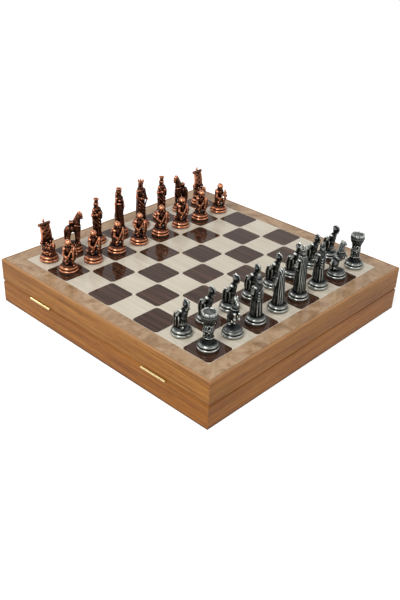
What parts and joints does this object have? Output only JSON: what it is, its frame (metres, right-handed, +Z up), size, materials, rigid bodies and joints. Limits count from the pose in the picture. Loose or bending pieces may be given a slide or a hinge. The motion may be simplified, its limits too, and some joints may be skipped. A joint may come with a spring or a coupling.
{
  "type": "chess set with board",
  "caption": "Chess set: a hinged wooden storage box whose glossy inlaid lid is the board, with cast copper-tone and silver-tone figures that lift off their squares.",
  "frame": {"origin": "middle of the box's flat underside, between the outer faces of its rails", "axes": "+X along the files from a to h, away from the hinge side; +Y along the ranks from 1 to 8; +Z up"},
  "size_m": [0.3627, 0.36, 0.1295],
  "materials": {
    "rail_veneer": "satin veneer, grain along the rail",
    "lining_felt": "short black-green felt",
    "hinge_brass": "polished",
    "screw_brass": "polished",
    "pin_steel": "plain",
    "magnet_plating": "nickel plated",
    "panel_board": "raw fibreboard",
    "divider_wood": "satin",
    "light_lacquer": "high-gloss lacquer",
    "dark_lacquer": "high-gloss lacquer",
    "burl_lacquer": "high-gloss lacquer",
    "antique_copper": "antique copper plating with dark recesses",
    "antique_silver": "antique pewter plating with dark recesses"
  },
  "bodies": {
    "case": {"case_hinge_rail": "rail_veneer", "case_silver_rail": "rail_veneer", "case_front_rail": "rail_veneer", "case_copper_rail": "rail_veneer", "case_bottom_panel": "panel_board", "case_lining": "lining_felt", "case_divider": "divider_wood", "hinge_lower_screws": "screw_brass", "case_magnets": "magnet_plating", "silver_end_hinge_lower_leaf": "hinge_brass", "copper_end_hinge_lower_leaf": "hinge_brass", "silver_end_hinge_pin": "pin_steel", "copper_end_hinge_pin": "pin_steel"},
    "lid": {"lid_hinge_rail": "rail_veneer", "lid_silver_rail": "rail_veneer", "lid_front_rail": "rail_veneer", "lid_copper_rail": "rail_veneer", "board_core": "panel_board", "board_light_field": "light_lacquer", "board_dark_squares": "dark_lacquer", "board_burl_border": "burl_lacquer", "lid_lining": "lining_felt", "hinge_upper_screws": "screw_brass", "lid_magnets": "magnet_plating", "silver_end_hinge_upper_leaf": "hinge_brass", "copper_end_hinge_upper_leaf": "hinge_brass"},
    "copper_rook_a8": {"copper_rook_a8": "antique_copper"},
    "copper_pawn_a7": {"copper_pawn_a7": "antique_copper"},
    "copper_knight_b8": {"copper_knight_b8": "antique_copper"},
    "copper_pawn_b7": {"copper_pawn_b7": "antique_copper"},
    "copper_bishop_c8": {"copper_bishop_c8": "antique_copper"},
    "copper_pawn_c7": {"copper_pawn_c7": "antique_copper"},
    "copper_queen_d8": {"copper_queen_d8": "antique_copper"},
    "copper_pawn_d7": {"copper_pawn_d7": "antique_copper"},
    "copper_king_e8": {"copper_king_e8": "antique_copper"},
    "copper_pawn_e7": {"copper_pawn_e7": "antique_copper"},
    "copper_bishop_f8": {"copper_bishop_f8": "antique_copper"},
    "copper_pawn_f7": {"copper_pawn_f7": "antique_copper"},
    "copper_knight_g8": {"copper_knight_g8": "antique_copper"},
    "copper_pawn_g7": {"copper_pawn_g7": "antique_copper"},
    "copper_rook_h8": {"copper_rook_h8": "antique_copper"},
    "copper_pawn_h7": {"copper_pawn_h7": "antique_copper"},
    "silver_rook_a1": {"silver_rook_a1": "antique_silver"},
    "silver_pawn_a2": {"silver_pawn_a2": "antique_silver"},
    "silver_knight_b1": {"silver_knight_b1": "antique_silver"},
    "silver_pawn_b2": {"silver_pawn_b2": "antique_silver"},
    "silver_bishop_c1": {"silver_bishop_c1": "antique_silver"},
    "silver_pawn_c2": {"silver_pawn_c2": "antique_silver"},
    "silver_queen_d1": {"silver_queen_d1": "antique_silver"},
    "silver_pawn_d2": {"silver_pawn_d2": "antique_silver"},
    "silver_king_e1": {"silver_king_e1": "antique_silver"},
    "silver_pawn_e2": {"silver_pawn_e2": "antique_silver"},
    "silver_bishop_f1": {"silver_bishop_f1": "antique_silver"},
    "silver_pawn_f2": {"silver_pawn_f2": "antique_silver"},
    "silver_knight_g1": {"silver_knight_g1": "antique_silver"},
    "silver_pawn_g2": {"silver_pawn_g2": "antique_silver"},
    "silver_rook_h1": {"silver_rook_h1": "antique_silver"},
    "silver_pawn_h2": {"silver_pawn_h2": "antique_silver"}
  },
  "joints": [
    {"name": "box_lid_hinge", "type": "hinge", "parent": "case", "child": "lid", "pos_m": [-0.1812, 0, 0.03], "axis": [0, -1, 0], "range_deg": [0, 110]},
    {"name": "copper_rook_a8_lift", "type": "slide", "parent": "lid", "child": "copper_rook_a8", "axis": [0, 0, 1], "range_m": [0, 0.09]},
    {"name": "copper_pawn_a7_lift", "type": "slide", "parent": "lid", "child": "copper_pawn_a7", "axis": [0, 0, 1], "range_m": [0, 0.09]},
    {"name": "copper_knight_b8_lift", "type": "slide", "parent": "lid", "child": "copper_knight_b8", "axis": [0, 0, 1], "range_m": [0, 0.09]},
    {"name": "copper_pawn_b7_lift", "type": "slide", "parent": "lid", "child": "copper_pawn_b7", "axis": [0, 0, 1], "range_m": [0, 0.09]},
    {"name": "copper_bishop_c8_lift", "type": "slide", "parent": "lid", "child": "copper_bishop_c8", "axis": [0, 0, 1], "range_m": [0, 0.09]},
    {"name": "copper_pawn_c7_lift", "type": "slide", "parent": "lid", "child": "copper_pawn_c7", "axis": [0, 0, 1], "range_m": [0, 0.09]},
    {"name": "copper_queen_d8_lift", "type": "slide", "parent": "lid", "child": "copper_queen_d8", "axis": [0, 0, 1], "range_m": [0, 0.09]},
    {"name": "copper_pawn_d7_lift", "type": "slide", "parent": "lid", "child": "copper_pawn_d7", "axis": [0, 0, 1], "range_m": [0, 0.09]},
    {"name": "copper_king_e8_lift", "type": "slide", "parent": "lid", "child": "copper_king_e8", "axis": [0, 0, 1], "range_m": [0, 0.09]},
    {"name": "copper_pawn_e7_lift", "type": "slide", "parent": "lid", "child": "copper_pawn_e7", "axis": [0, 0, 1], "range_m": [0, 0.09]},
    {"name": "copper_bishop_f8_lift", "type": "slide", "parent": "lid", "child": "copper_bishop_f8", "axis": [0, 0, 1], "range_m": [0, 0.09]},
    {"name": "copper_pawn_f7_lift", "type": "slide", "parent": "lid", "child": "copper_pawn_f7", "axis": [0, 0, 1], "range_m": [0, 0.09]},
    {"name": "copper_knight_g8_lift", "type": "slide", "parent": "lid", "child": "copper_knight_g8", "axis": [0, 0, 1], "range_m": [0, 0.09]},
    {"name": "copper_pawn_g7_lift", "type": "slide", "parent": "lid", "child": "copper_pawn_g7", "axis": [0, 0, 1], "range_m": [0, 0.09]},
    {"name": "copper_rook_h8_lift", "type": "slide", "parent": "lid", "child": "copper_rook_h8", "axis": [0, 0, 1], "range_m": [0, 0.09]},
    {"name": "copper_pawn_h7_lift", "type": "slide", "parent": "lid", "child": "copper_pawn_h7", "axis": [0, 0, 1], "range_m": [0, 0.09]},
    {"name": "silver_rook_a1_lift", "type": "slide", "parent": "lid", "child": "silver_rook_a1", "axis": [0, 0, 1], "range_m": [0, 0.09]},
    {"name": "silver_pawn_a2_lift", "type": "slide", "parent": "lid", "child": "silver_pawn_a2", "axis": [0, 0, 1], "range_m": [0, 0.09]},
    {"name": "silver_knight_b1_lift", "type": "slide", "parent": "lid", "child": "silver_knight_b1", "axis": [0, 0, 1], "range_m": [0, 0.09]},
    {"name": "silver_pawn_b2_lift", "type": "slide", "parent": "lid", "child": "silver_pawn_b2", "axis": [0, 0, 1], "range_m": [0, 0.09]},
    {"name": "silver_bishop_c1_lift", "type": "slide", "parent": "lid", "child": "silver_bishop_c1", "axis": [0, 0, 1], "range_m": [0, 0.09]},
    {"name": "silver_pawn_c2_lift", "type": "slide", "parent": "lid", "child": "silver_pawn_c2", "axis": [0, 0, 1], "range_m": [0, 0.09]},
    {"name": "silver_queen_d1_lift", "type": "slide", "parent": "lid", "child": "silver_queen_d1", "axis": [0, 0, 1], "range_m": [0, 0.09]},
    {"name": "silver_pawn_d2_lift", "type": "slide", "parent": "lid", "child": "silver_pawn_d2", "axis": [0, 0, 1], "range_m": [0, 0.09]},
    {"name": "silver_king_e1_lift", "type": "slide", "parent": "lid", "child": "silver_king_e1", "axis": [0, 0, 1], "range_m": [0, 0.09]},
    {"name": "silver_pawn_e2_lift", "type": "slide", "parent": "lid", "child": "silver_pawn_e2", "axis": [0, 0, 1], "range_m": [0, 0.09]},
    {"name": "silver_bishop_f1_lift", "type": "slide", "parent": "lid", "child": "silver_bishop_f1", "axis": [0, 0, 1], "range_m": [0, 0.09]},
    {"name": "silver_pawn_f2_lift", "type": "slide", "parent": "lid", "child": "silver_pawn_f2", "axis": [0, 0, 1], "range_m": [0, 0.09]},
    {"name": "silver_knight_g1_lift", "type": "slide", "parent": "lid", "child": "silver_knight_g1", "axis": [0, 0, 1], "range_m": [0, 0.09]},
    {"name": "silver_pawn_g2_lift", "type": "slide", "parent": "lid", "child": "silver_pawn_g2", "axis": [0, 0, 1], "range_m": [0, 0.09]},
    {"name": "silver_rook_h1_lift", "type": "slide", "parent": "lid", "child": "silver_rook_h1", "axis": [0, 0, 1], "range_m": [0, 0.09]},
    {"name": "silver_pawn_h2_lift", "type": "slide", "parent": "lid", "child": "silver_pawn_h2", "axis": [0, 0, 1], "range_m": [0, 0.09]}
  ]
}
